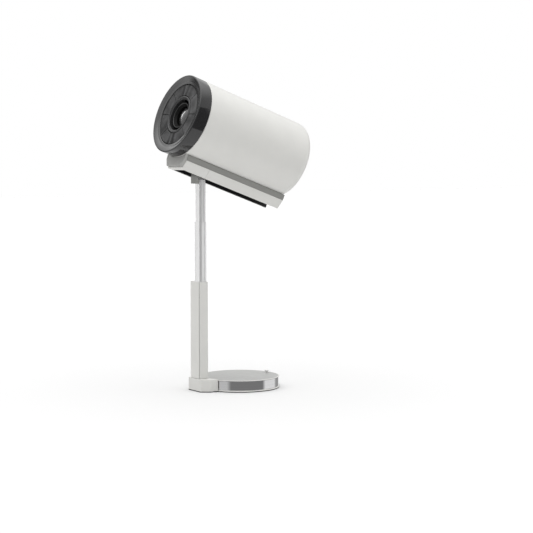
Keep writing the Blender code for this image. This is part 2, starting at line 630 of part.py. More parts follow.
def build_rear():
    """Intake grille, the bulkhead it is screwed to, and its screws."""
    bulkhead_profile = [(201.0 * MM, 40.0 * MM), (201.0 * MM, 51.8 * MM), (205.7 * MM, 51.8 * MM),
                        (205.7 * MM, 40.0 * MM)]
    bulkhead = turned("rear_bulkhead", bulkhead_profile, BLACK)
    angles = spoke_angles(8, 4.0, 3)
    radii = [r * MM for r in (0.0, 10.0, 16.0, 18.0, 24.0, 26.0, 32.0, 34.0, 39.5, 44.6)]
    spokes = range(0, len(angles), 4)
    grille = polar_plate("rear_grille", radii, angles, lambda band, sector: band % 2 == 0 or sector in spokes,
                         206.0 * MM, 208.6 * MM, WARM_GREY)
    builder = bmesh.new()
    screws = []
    for index in range(4):
        angle = math.radians(67.5 + 90.0 * index)
        screws.append((math.cos(angle) * GRILLE_SCREW_CIRCLE, math.sin(angle) * GRILLE_SCREW_CIRCLE))
    for y, z in screws:
        prism_shape(builder, arc((y, z), 1.5 * MM, 0.0, 330.0, 11), 202.0 * MM, 212.0 * MM, "X")
    holes = add("grille_hole_cutter", builder, STEEL, PIVOT, HEAD_AXIS)
    cut(bulkhead, holes)
    cut(grille, holes)
    screw = [(202.4 * MM, 0.0), (202.4 * MM, 1.2 * MM), (208.9 * MM, 1.2 * MM), (208.9 * MM, 2.5 * MM),
             (209.8 * MM, 2.1 * MM), (210.1 * MM, 0.0)]
    for index, (y, z) in enumerate(screws):
        turned(f"grille_screw_{index + 1}", screw, STEEL, 12, location=(-PIVOT_BACK, y, PIVOT_DROP + z))


build_base()
build_foot()
build_mast()
build_hinge()
build_cradle()
build_casing()
build_air_path()
build_fan()
build_rear()
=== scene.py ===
"""Looks of the axial air mover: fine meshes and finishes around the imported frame."""

import json
import math

import bmesh
import bpy
from mathutils import Matrix, Vector


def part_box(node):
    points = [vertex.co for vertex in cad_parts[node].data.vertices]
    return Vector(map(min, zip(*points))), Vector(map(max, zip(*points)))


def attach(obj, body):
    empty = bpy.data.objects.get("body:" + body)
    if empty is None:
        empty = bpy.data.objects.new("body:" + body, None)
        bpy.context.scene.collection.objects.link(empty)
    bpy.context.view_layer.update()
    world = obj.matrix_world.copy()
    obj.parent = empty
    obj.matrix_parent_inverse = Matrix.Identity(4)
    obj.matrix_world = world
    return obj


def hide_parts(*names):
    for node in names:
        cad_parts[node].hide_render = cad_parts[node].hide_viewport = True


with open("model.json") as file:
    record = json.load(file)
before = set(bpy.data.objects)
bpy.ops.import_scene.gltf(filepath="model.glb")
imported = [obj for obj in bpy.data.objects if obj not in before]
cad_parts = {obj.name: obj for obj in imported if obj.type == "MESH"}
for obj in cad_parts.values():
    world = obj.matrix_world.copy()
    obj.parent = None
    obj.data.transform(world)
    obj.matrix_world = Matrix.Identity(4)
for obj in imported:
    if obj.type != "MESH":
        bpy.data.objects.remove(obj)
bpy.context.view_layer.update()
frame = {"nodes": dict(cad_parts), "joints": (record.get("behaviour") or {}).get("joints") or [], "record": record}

MM = 0.001
GAP = 0.3 * MM                     # clearance that the frame keeps between pieces
ROUND_STEPS = 192                  # sides of a large turned piece
SMALL_STEPS = 48                   # sides of a small one
BAND_STEPS = 256                   # sides of the largest, where a facet would show
SHARP_ANGLE = math.radians(38.0)   # an edge that turns by more than this is shaded sharp
BEVEL_ANGLE = math.radians(32.0)   # and one that turns by more than this is rounded off
THROUGH = 30.0 * MM                # half length of a cutter that passes right through
LIP_LOW = 1.3 * MM                 # underside of the white lip round the foot of the base

CAMERA_PLACE = Vector((-1.30806, -2.04939, 0.36643))
CAMERA_YAW = math.radians(-33.51)
CAMERA_DIP = math.radians(4.343)
CAMERA_LENS = 109.79               # on a 36 mm sensor
CAMERA_SENSOR = 36.0


# ---- places read from the frame ------------------------------------------------------------

def head_frame():
    """Matrix of the head: X runs rearward on the fan's axis from the front face, Z is up."""
    joint = next(joint for joint in frame["joints"] if joint["name"] == "fan_spin")
    back = Vector(joint["axis"]).normalized()
    side = Vector((0.0, 1.0, 0.0))
    up = back.cross(side)
    centre = Vector(joint["pos_m"])
    corners = frame["nodes"]["front_bezel"].data.vertices
    reach = min((corner.co - centre).dot(back) for corner in corners)
    origin = centre + back * reach
    columns = (back, side, up, origin)
    rows = [[column[row] for column in columns] for row in range(3)]
    return Matrix((*rows, (0.0, 0.0, 0.0, 1.0)))


HEAD = head_frame()
HEAD_INVERSE = HEAD.inverted()
WORLD = Matrix.Identity(4)


def head_span(node):
    """Front, rear and outer radius of a node about the head's axis."""
    corners = [HEAD_INVERSE @ corner.co for corner in frame["nodes"][node].data.vertices]
    along = [corner.x for corner in corners]
    radii = [math.hypot(corner.y, corner.z) for corner in corners]
    return min(along), max(along), max(radii)


def head_box(node):
    """Lowest and highest corner of a node in the head's own axes."""
    corners = [HEAD_INVERSE @ corner.co for corner in frame["nodes"][node].data.vertices]
    low = Vector([min(corner[axis] for corner in corners) for axis in range(3)])
    high = Vector([max(corner[axis] for corner in corners) for axis in range(3)])
    return low, high


# ---- materials ----------------------------------------------------------------------------

class Surface:
    """A Principled material with grain, mottling and uneven gloss from procedural nodes."""

    def __init__(self, name, colour, roughness, metallic=0.0, specular=0.5):
        self.material = bpy.data.materials.new(name)
        self.material.use_nodes = True
        self.nodes = self.material.node_tree.nodes
        self.links = self.material.node_tree.links
        self.shader = self.nodes["Principled BSDF"]
        self.colour = colour
        self.roughness = roughness
        self.shader.inputs["Base Color"].default_value = (*colour, 1.0)
        self.shader.inputs["Roughness"].default_value = roughness
        self.shader.inputs["Metallic"].default_value = metallic
        self.shader.inputs["Specular IOR Level"].default_value = specular
        self.place = self.nodes.new("ShaderNodeTexCoord").outputs["Object"]
        self.height = None

    def scaled(self, scale):
        """Object coordinates in metres, times a scale for each axis."""
        mapping = self.nodes.new("ShaderNodeMapping")
        mapping.inputs["Scale"].default_value = scale
        self.links.new(self.place, mapping.inputs["Vector"])
        return mapping.outputs["Vector"]

    def noise(self, scale, detail=2.0):
        """Noise whose grain is one over the scale, in metres."""
        texture = self.nodes.new("ShaderNodeTexNoise")
        texture.inputs["Scale"].default_value = 1.0
        texture.inputs["Detail"].default_value = detail
        self.links.new(self.scaled(scale), texture.inputs["Vector"])
        return texture.outputs["Fac"]

    def math(self, operation, *values):
        """One Math node, from sockets or plain numbers."""
        node = self.nodes.new("ShaderNodeMath")
        node.operation = operation
        for socket, value in zip(node.inputs, values):
            if isinstance(value, (int, float)):
                socket.default_value = value
            else:
                self.links.new(value, socket)
        return node.outputs[0]

    def spread(self, value, low, high):
        """Map the middle of a noise to the range from low to high."""
        node = self.nodes.new("ShaderNodeMapRange")
        node.inputs["From Min"].default_value = 0.3
        node.inputs["From Max"].default_value = 0.7
        node.inputs["To Min"].default_value = low
        node.inputs["To Max"].default_value = high
        self.links.new(value, node.inputs["Value"])
        return node.outputs["Result"]

    def mottle(self, value, share):
        """Vary the colour by a share either way."""
        blend = self.nodes.new("ShaderNodeMix")
        blend.data_type = "RGBA"
        ends = [socket for socket in blend.inputs if socket.type == "RGBA"]
        for socket, level in zip(ends, (1.0 - share, 1.0 + share)):
            tint = [min(1.0, channel * level) for channel in self.colour]
            socket.default_value = (*tint, 1.0)
        self.links.new(self.spread(value, 0.0, 1.0), blend.inputs[0])
        result = next(socket for socket in blend.outputs if socket.type == "RGBA")
        self.links.new(result, self.shader.inputs["Base Color"])

    def gloss(self, value, share):
        """Vary the roughness by a share either way."""
        low, high = self.roughness * (1.0 - share), self.roughness * (1.0 + share)
        self.links.new(self.spread(value, low, high), self.shader.inputs["Roughness"])

    def bump(self, value, depth):
        """Raise the surface by a depth in metres; later bumps stack on earlier ones."""
        node = self.nodes.new("ShaderNodeBump")
        node.inputs["Distance"].default_value = depth
        self.links.new(value, node.inputs["Height"])
        if self.height is not None:
            self.links.new(self.height, node.inputs["Normal"])
        self.height = node.outputs["Normal"]
        self.links.new(self.height, self.shader.inputs["Normal"])


def moulded(name, colour, roughness, grain=0.35, depth=6.0e-6, specular=0.5):
    """Moulded plastic: fine spark grain, faint mottling and handling marks in the gloss."""
    surface = Surface(name, colour, roughness, specular=specular)
    fine = 1.0 / (grain * MM)
    surface.bump(surface.noise((fine, fine, fine), 3.0), depth)
    surface.bump(surface.noise((28.0, 28.0, 28.0), 1.0), 4.0e-5)
    surface.mottle(surface.noise((35.0, 35.0, 35.0), 4.0), 0.018)
    surface.gloss(surface.noise((90.0, 90.0, 90.0), 5.0), 0.14)
    return surface.material


def drawn(name, colour, roughness, scale, depth=3.0e-6, share=0.25, metallic=1.0):
    """Metal with fine parallel lines, along the axis whose scale is small."""
    surface = Surface(name, colour, roughness, metallic)
    lines = surface.noise(scale, 4.0)
    surface.bump(lines, depth)
    surface.gloss(lines, share)
    surface.mottle(surface.noise([value * 0.35 for value in scale], 2.0), 0.03)
    return surface.material


def spun(name, colour, roughness, metallic, depth=4.0e-6, painted_sheen=0.0):
    """Turned finish: fine rings about the head's axis; when painted_sheen is above zero, light and dark streaks at
    top and foot are painted into the colour as a painted highlight of the spun rings.
    """
    surface = Surface(name, colour, roughness, metallic, specular=0.35)
    flat = surface.scaled((0.0, 1.0, 1.0))
    length = surface.nodes.new("ShaderNodeVectorMath")
    length.operation = "LENGTH"
    surface.links.new(flat, length.inputs[0])
    rings = surface.nodes.new("ShaderNodeTexNoise")
    rings.noise_dimensions = "1D"
    rings.inputs["Scale"].default_value = 2600.0
    rings.inputs["Detail"].default_value = 3.0
    surface.links.new(length.outputs["Value"], rings.inputs["W"])
    surface.bump(rings.outputs["Fac"], depth)
    surface.gloss(rings.outputs["Fac"], 0.2)
    mottle_and_sheen = surface.noise((60.0, 60.0, 60.0), 3.0)
    # painted highlight: bands of lighter and darker colour near the top and foot of the axis, where the spun rings
    # would catch the light
    if painted_sheen > 0.0:
        parts = surface.nodes.new("ShaderNodeSeparateXYZ")
        surface.links.new(surface.place, parts.inputs[0])
        across = surface.math("DIVIDE", parts.outputs["Y"], length.outputs["Value"])
        wave = surface.math("SINE", surface.math("MULTIPLY_ADD", across, 21.0, 1.1))
        fade = surface.math("SUBTRACT", 1.0, surface.math("MULTIPLY", surface.math("ABSOLUTE", across), 2.7))
        fade = surface.math("MAXIMUM", fade, 0.0)
        mottle_and_sheen = surface.math("MULTIPLY_ADD", surface.math("MULTIPLY", wave, fade), 0.3, mottle_and_sheen)
    surface.mottle(mottle_and_sheen, max(0.06, painted_sheen))
    surface.shader.inputs["Anisotropic"].default_value = 0.6
    tangent = surface.nodes.new("ShaderNodeTangent")
    tangent.direction_type = "RADIAL"
    tangent.axis = "X"
    surface.links.new(tangent.outputs["Tangent"], surface.shader.inputs["Tangent"])
    return surface.material


def smoked(name, colour, roughness):
    """Gloss plastic with a faint waviness and dust."""
    surface = Surface(name, colour, roughness)
    surface.mottle(surface.noise((45.0, 45.0, 45.0), 3.0), 0.12)
    surface.gloss(surface.noise((220.0, 220.0, 220.0), 6.0), 0.35)
    surface.bump(surface.noise((24.0, 24.0, 24.0), 1.0), 3.0e-5)
    surface.shader.inputs["Coat Weight"].default_value = 0.35
    surface.shader.inputs["Coat Roughness"].default_value = 0.03
    return surface.material


def hatched(name, colour, roughness):
    """Smoked plastic with fine ribs that run out from the head's axis, with painted shade on the ribs: lighter
    colour on each crest, darker in each trough.
    """
    surface = Surface(name, colour, roughness, specular=1.0)
    surface.shader.inputs["Coat Weight"].default_value = 0.6
    surface.shader.inputs["Coat Roughness"].default_value = 0.05
    parts = surface.nodes.new("ShaderNodeSeparateXYZ")
    surface.links.new(surface.place, parts.inputs[0])
    turn = surface.math("ARCTAN2", parts.outputs["Y"], parts.outputs["Z"])
    ribs = surface.math("SINE", surface.math("MULTIPLY", turn, 180.0))
    surface.bump(ribs, 1.5e-5)
    # painted shade: the colour follows the ribs, lighter on their crests and darker in their troughs
    surface.mottle(surface.math("MULTIPLY_ADD", ribs, 0.2, 0.5), 0.12)
    surface.gloss(surface.noise((220.0, 220.0, 220.0), 5.0), 0.25)
    return surface.material


def dark_dome(name):
    """Dark smoked plastic with a gloss skin that shows the lights."""
    surface = Surface(name, (0.03, 0.03, 0.031), 0.3)
    surface.gloss(surface.noise((150.0, 150.0, 150.0), 4.0), 0.4)
    surface.mottle(surface.noise((80.0, 80.0, 80.0), 2.0), 0.1)
    surface.shader.inputs["IOR"].default_value = 1.49
    surface.shader.inputs["Coat Weight"].default_value = 0.8
    surface.shader.inputs["Coat Roughness"].default_value = 0.1
    return surface.material


WHITE = moulded("white_plastic", (0.68, 0.677, 0.652), 0.33)
WARM_GREY = moulded("warm_grey_plastic", (0.274, 0.275, 0.26), 0.5)
# a copy of the warm grey painted lighter, as painted light for the cradle's front cap
LIT_WARM_GREY = moulded("warm_grey_painted_lighter", (0.39, 0.39, 0.375), 0.42)
PLATE_GREY = moulded("light_grey_plate", (0.375, 0.377, 0.367), 0.38, 0.25, 4.0e-6)
BUTTON_GREY = moulded("button_grey", (0.76, 0.76, 0.75), 0.3, 0.25, 4.0e-6)
BLACK = moulded("black_plastic", (0.012, 0.012, 0.013), 0.4)
DEEP_BLACK = moulded("deep_black_plastic", (0.006, 0.006, 0.006), 0.6, specular=0.15)
RUBBER = moulded("rubber", (0.018, 0.018, 0.018), 0.85, 0.6, 2.0e-5)
BOARD = moulded("circuit_board", (0.02, 0.12, 0.05), 0.45, 0.8, 1.0e-5)
SMOKED = smoked("smoked_gloss", (0.012, 0.012, 0.0125), 0.06)
FUNNEL = hatched("smoked_funnel", (0.016, 0.016, 0.0165), 0.1)
# the segment plates carry painted highlight streaks at top and foot
SEGMENT = spun("satin_grey", (0.06, 0.06, 0.061), 0.34, 0.5, painted_sheen=0.75)
RING = spun("ring_grey", (0.07, 0.07, 0.071), 0.28, 0.5)
CHROME = drawn("chrome", (0.90, 0.90, 0.905), 0.05, (12.0, 12.0, 2400.0), 1.2e-6, 0.3)
ALUMINIUM = drawn("polished_aluminium", (0.95, 0.95, 0.95), 0.17, (2200.0, 2200.0, 2.0), metallic=0.66)
STEEL = drawn("steel", (0.5, 0.5, 0.51), 0.32, (900.0, 900.0, 900.0))
COPPER = drawn("copper_winding", (0.72, 0.35, 0.16), 0.35, (300.0, 2500.0, 2500.0), 8.0e-6)
DOME = dark_dome("lens_glass")


# ---- mesh building ------------------------------------------------------------------------

def add(name, builder, material, body, nodes=(), matrix=WORLD, bevel=0.0, cutters=(),
        second=None, where=None):
    """Finish a bmesh as a piece: cut it, bevel it, let it ride on a body and stand for its nodes.

    A second material goes on the faces that where() picks.
    """
    bmesh.ops.remove_doubles(builder, verts=builder.verts, dist=1e-7)
    bmesh.ops.recalc_face_normals(builder, faces=builder.faces)
    mesh = bpy.data.meshes.new(name)
    builder.to_mesh(mesh)
    builder.free()
    made = bpy.data.objects.new(name, mesh)
    bpy.context.scene.collection.objects.link(made)
    mesh.materials.append(material)
    if second is not None:
        mesh.materials.append(second)
    for operation, cutter in cutters:
        boolean = made.modifiers.new("shape", "BOOLEAN")
        boolean.operation = operation
        boolean.solver = "EXACT"
        boolean.object = cutter
    bake(made)
    for _, cutter in cutters:
        bpy.data.objects.remove(cutter)
    made.data.shade_smooth()
    made.data.set_sharp_from_angle(angle=SHARP_ANGLE)
    if bevel > 0.0:
        edge = made.modifiers.new("edge", "BEVEL")
        edge.width = bevel
        edge.segments = 3
        edge.limit_method = "ANGLE"
        edge.angle_limit = BEVEL_ANGLE
        edge.use_clamp_overlap = True
        weighted = made.modifiers.new("shading", "WEIGHTED_NORMAL")
        weighted.weight = 100
        bake(made)
    if second is not None:
        for face in made.data.polygons:
            face.material_index = int(where(face))
    made.matrix_world = matrix
    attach(made, body)
    if nodes:
        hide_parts(*nodes)


def bake(made):
    """Replace a piece's mesh with what its modifiers make of it."""
    depsgraph = bpy.context.evaluated_depsgraph_get()
    shaped = bpy.data.meshes.new_from_object(made.evaluated_get(depsgraph))
    shaped.name = made.name
    made.modifiers.clear()
    made.data = shaped


def guide(builder):
    """A cutter or an addition for a Boolean, which add() removes."""
    bmesh.ops.recalc_face_normals(builder, faces=builder.faces)
    mesh = bpy.data.meshes.new("guide")
    builder.to_mesh(mesh)
    builder.free()
    made = bpy.data.objects.new("guide", mesh)
    bpy.context.scene.collection.objects.link(made)
    return made


def turned(profile, steps=ROUND_STEPS, axis="X", centre=(0.0, 0.0), builder=None):
    """Spin a closed (along, radius) outline about an axis through the centre."""
    builder = builder or bmesh.new()
    rings = []
    for along, radius in profile:
        ring = []
        for step in range(steps if radius > 0.0 else 1):
            angle = 2.0 * math.pi * step / steps
            first = radius * math.cos(angle) + centre[0]
            second = radius * math.sin(angle) + centre[1]
            corner = {
                "X": (along, first, second),
                "Y": (second, along, first),
                "Z": (first, second, along),
            }[axis]
            ring.append(builder.verts.new(corner))
        rings.append(ring)
    for here, there in zip(rings, rings[1:] + rings[:1]):
        if len(here) == 1 and len(there) == 1:
            continue
        for step in range(steps):
            after = (step + 1) % steps
            corners = [
                here[step % len(here)],
                here[after % len(here)],
                there[after % len(there)],
                there[step % len(there)],
            ]
            builder.faces.new(list(dict.fromkeys(corners)))
    return builder


def rod(low, high, radius, centre, axis="Y", steps=SMALL_STEPS):
    """A plain round cutter or addition from low to high along an axis."""
    return guide(turned([(low, 0.0), (low, radius), (high, radius), (high, 0.0)], steps, axis, centre))


def prism(outline, low, high, axis="Z", builder=None):
    """Extrude a closed outline along X (outline in Y, Z), Y (X, Z) or Z (X, Y)."""
    builder = builder or bmesh.new()
    place = {
        "X": lambda point, along: (along, point[0], point[1]),
        "Y": lambda point, along: (point[0], along, point[1]),
        "Z": lambda point, along: (point[0], point[1], along),
    }[axis]
    ends = [[builder.verts.new(place(point, along)) for point in outline] for along in (low, high)]
    for end in ends:
        builder.faces.new(end)
    for index in range(len(outline)):
        after = (index + 1) % len(outline)
        builder.faces.new((ends[0][index], ends[0][after], ends[1][after], ends[1][index]))
    return builder


def arc(centre, radius, start, end, steps):
    """Points on an arc, angles in degrees."""
    points = []
    for step in range(steps + 1):
        angle = math.radians(start + (end - start) * step / steps)
        points.append((centre[0] + radius * math.cos(angle), centre[1] + radius * math.sin(angle)))
    return points


def rounded_box(low, high, radius, steps=8):
    """Outline of a rectangle from low to high with round corners."""
    points = []
    for corner_x, corner_y, start in ((1, 1, 0.0), (0, 1, 90.0), (0, 0, 180.0), (1, 0, 270.0)):
        x = high[0] - radius if corner_x else low[0] + radius
        y = high[1] - radius if corner_y else low[1] + radius
        points += arc((x, y), radius, start, start + 90.0, steps)
    return points


# ---- base ---------------------------------------------------------------------------------

def build_base():
    """Grey top plate with its rim painted white as a painted highlight along the edge, chrome band, white lip and
    button.
    """
    plate_low, plate_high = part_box("top_plate")
    band_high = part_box("chrome_band")[1]
    pan_low, pan_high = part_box("base_pan")
    pad_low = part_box("base_pad")[0]
    button_low, button_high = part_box("power_button")
    button = ((button_low.x + button_high.x) / 2.0, (button_low.y + button_high.y) / 2.0)

    rim, roll = plate_high.x, 0.55 * MM
    seam = plate_low.z + 0.5 * MM
    sunk = plate_high.z - 0.12 * MM
    outline = [(seam, 0.0), (seam, rim - 0.2 * MM), (seam + 0.2 * MM, rim)]
    outline += [(z, r) for r, z in arc((rim - roll, plate_high.z - roll), roll, 0.0, 90.0, 5)]
    outline += [(plate_high.z, rim - 1.6 * MM), (sunk, rim - 1.9 * MM), (sunk, 0.0)]
    well = rod(0.0, 100.0 * MM, 2.6 * MM, button, "Z")
    # painted highlight: the plate's outer rim, rolled edge included, takes the white plastic
    add("plate_surface", turned(outline, axis="Z"), PLATE_GREY, "base", ("top_plate",),
        cutters=[("DIFFERENCE", well)], second=WHITE,
        where=lambda face: math.hypot(face.center.x, face.center.y) > rim - 1.7 * MM and face.normal.z > -0.5)

    edge = 0.4 * MM
    outer, inner = band_high.x, band_high.x - 1.5 * MM
    lip_high, band_top = 2.4 * MM, seam - GAP
    outline = [(lip_high, inner), (lip_high, outer - edge), (lip_high + edge, outer),
               (band_top - edge, outer), (band_top, outer - edge), (band_top, inner)]
    add("chrome_band_surface", turned(outline, axis="Z", steps=BAND_STEPS), CHROME, "base",
        ("chrome_band",), bevel=0.15 * MM)

    lip, wall = pan_high.x, inner - GAP
    shelf, ledge = wall - 2.4 * MM, pan_low.z + 3.7 * MM
    outline = [(LIP_LOW, 0.0), (LIP_LOW, lip + 0.9 * MM), (LIP_LOW + 0.3 * MM, lip + MM),
               (lip_high, lip - 0.3 * MM), (lip_high, wall), (pan_high.z, wall), (pan_high.z, shelf),
               (ledge, shelf), (ledge, 0.0)]
    add("base_lip", turned(outline, axis="Z"), WHITE, "base", ("base_pan",), bevel=0.1 * MM)
    pad_top = LIP_LOW - 0.1 * MM
    outline = [(pad_low.z, 0.0), (pad_low.z, lip - 0.2 * MM), (pad_top, lip + 0.6 * MM), (pad_top, 0.0)]
    add("base_pad_surface", turned(outline, axis="Z"), RUBBER, "base", ("base_pad",),
        bevel=0.15 * MM)

    stem, cap, top = 2.2 * MM, 3.1 * MM, button_high.z
    crown = 4.2 * MM
    dome = [(top - crown + z, r) for r, z in arc((0.0, 0.0), crown, 38.0, 90.0, 7)][:-1]
    outline = [(button_low.z, 0.0), (button_low.z, stem), (top - 3.3 * MM, stem),
               (top - 2.9 * MM, cap - 0.2 * MM), (top - 2.5 * MM, cap),
               *[(z, min(r, cap)) for z, r in dome], (top, 0.0)]
    add("button_cap", turned(outline, SMALL_STEPS, "Z", button), BUTTON_GREY, "button",
        ("power_button",))


def build_foot():
    """Foot block: flat front, splayed sides, hollowed to the round base."""
    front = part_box("foot_block")[0].x
    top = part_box("outer_sleeve")[0].z - GAP
    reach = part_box("top_plate")[1].x + GAP
    meets_disc = math.degrees(math.atan2(26.2, 54.0))
    rear = arc((0.0, 0.0), reach, 180.0 + meets_disc, 180.0 - meets_disc, 40)
    splay, heel, shoulder_radius = 235.0, 290.0, 5.0 * MM

    def outline(grow, corner_radius):
        half = 18.5 * MM + grow
        nose_centre = (front - grow + corner_radius, corner_radius - half)
        shoulder_centre = (front + 14.0 * MM, shoulder_radius - 25.6 * MM - grow)
        near = arc(nose_centre, corner_radius, 180.0, splay, 8)
        near += arc(shoulder_centre, shoulder_radius, splay, heel, 8)
        return [*near, *rear, *[(x, -y) for x, y in reversed(near)]]

    lip_high = 2.6 * MM
    add("foot_block_surface", prism(outline(0.0, 2.6 * MM), lip_high - 0.1 * MM, top), WHITE, "base",
        ("foot_block",), bevel=0.4 * MM)
    add("foot_lip", prism(outline(0.7 * MM, 3.2 * MM), LIP_LOW, lip_high), WHITE, "base",
        bevel=0.6 * MM)
    add("foot_pad_surface", prism(outline(-0.1 * MM, 2.4 * MM), 0.0, LIP_LOW - 0.1 * MM), RUBBER, "base",
        ("foot_pad",), bevel=0.2 * MM)


# ---- mast ---------------------------------------------------------------------------------

# the tubes' near faces, shallow facets and a groove: (offset from the middle, inset) in mm
MIDDLE_FACE = ((-5.15, 0.0), (-2.6, 0.0), (-2.5, 0.01), (2.2, 0.7), (2.3, 0.72), (2.5, 1.25),
               (3.3, 1.25), (3.5, 0.74), (3.6, 0.75), (5.0, 1.05), (5.1, 1.08))
UPPER_FACE = ((-4.45, 0.0), (-1.4, 0.0), (-1.3, 0.01), (-0.2, 0.21), (-0.1, 0.22), (1.9, 0.22),
              (2.0, 0.23), (4.3, 0.5), (4.4, 0.52))
# the step along the sleeve's near left corner: (x, y) from that corner in mm
SLEEVE_STEP = ((0.0, 2.3), (0.15, 2.1), (0.75, 1.9), (1.0, 1.6), (1.0, 0.9), (1.1, 0.25),
               (1.3, 0.05), (1.6, 0.0))


def tube_outline(low, high, corner, near_face):
    """Rectangle with round corners, whose near face follows (offset, inset) points."""
    steps = 5
    points = rounded_box(low, high, corner, steps)
    middle = (low[0] + high[0]) / 2.0
    face = [(middle + offset * MM, low[1] + inset * MM) for offset, inset in near_face]
    turn = arc((high[0] - corner, face[-1][1] + corner), corner, 270.0, 360.0, steps)
    return points[:-len(turn)] + face + turn


def sleeve_outline(low, high):
    """Sleeve section: a fine step along the near corner, round corners elsewhere."""
    soft, tight = 2.0 * MM, 1.1 * MM
    far = high.y + 0.5 * MM
    points = arc((high.x - tight, far - tight), tight, 0.0, 90.0, 6)
    points += arc((low.x + tight, far - tight), tight, 90.0, 180.0, 6)
    points += [(low.x + x * MM, low.y + y * MM) for x, y in SLEEVE_STEP]
    points += arc((high.x - soft, low.y + soft), soft, 270.0, 360.0, 10)
    return points


def build_mast():
    """Sleeve and two polished tubes."""
    sleeve_low, sleeve_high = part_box("outer_sleeve")
    middle_low, middle_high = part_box("middle_tube")
    upper_low, upper_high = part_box("upper_tube")
    pocket = rounded_box((middle_low.x - GAP, middle_low.y - GAP),
                         (middle_high.x + GAP, middle_high.y + GAP), 1.0 * MM)
    bore = guide(prism(pocket, 0.0, 1.0))
    sleeve = sleeve_outline(sleeve_low, sleeve_high)
    add("sleeve_surface", prism(sleeve, sleeve_low.z, sleeve_high.z), WHITE, "base",
        ("outer_sleeve",), bevel=0.2 * MM, cutters=[("DIFFERENCE", bore)])

    tubes = (("middle", middle_low, middle_high, 0.6 * MM, 1.5 * MM, MIDDLE_FACE),
             ("upper", upper_low, upper_high, 1.0 * MM, 1.3 * MM, UPPER_FACE))
    for body, low, high, wall, corner, near_face in tubes:
        hollow_low = (low.x + wall + 0.4 * MM, low.y + wall + MM)
        hollow = rounded_box(hollow_low, (high.x - wall, high.y - wall), 0.5 * MM)
        section = tube_outline(low, high, corner, near_face)
        add(f"{body}_tube_surface", prism(section, low.z, high.z), ALUMINIUM, body,
            (f"{body}_tube",), bevel=0.12 * MM, cutters=[("DIFFERENCE", guide(prism(hollow, 0.0, 1.0)))])


def build_bracket():
    """Tilt bracket: a block on the mast's front and far side, with a boss on the pin."""
    low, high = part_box("tilt_bracket")
    tube_low, tube_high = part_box("upper_tube")
    pin_low, pin_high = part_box("tilt_pin")
    pivot = ((pin_low.x + pin_high.x) / 2.0, (pin_low.z + pin_high.z) / 2.0)
    half = high.x - pivot[0]
    crown = arc(pivot, half, 0.0, 180.0, 32)
    seat = tube_high.z + GAP
    outline = [*crown, (low.x, low.z), (tube_high.x, low.z), (tube_high.x, seat)]
    sides = (-9.8 * MM, 10.4 * MM)
    socket = [(tube_low.x - GAP, -THROUGH), (0.0, -THROUGH), (0.0, tube_high.y + GAP),
              (tube_low.x - GAP, tube_high.y + GAP)]
    cutter = guide(prism(socket, low.z - MM, seat))
    across = (pivot[1], pivot[0])
    boss = rod(low.y, high.y, 4.0 * MM, across)
    bore = rod(-THROUGH, THROUGH, (pin_high.x - pin_low.x) / 2.0 + GAP, across)
    add("bracket_surface", prism(outline, *sides, axis="Y"), WARM_GREY, "upper",
        ("tilt_bracket",), bevel=0.3 * MM,
        cutters=[("DIFFERENCE", cutter), ("UNION", boss), ("DIFFERENCE", bore)])


# ---- cradle -------------------------------------------------------------------------------

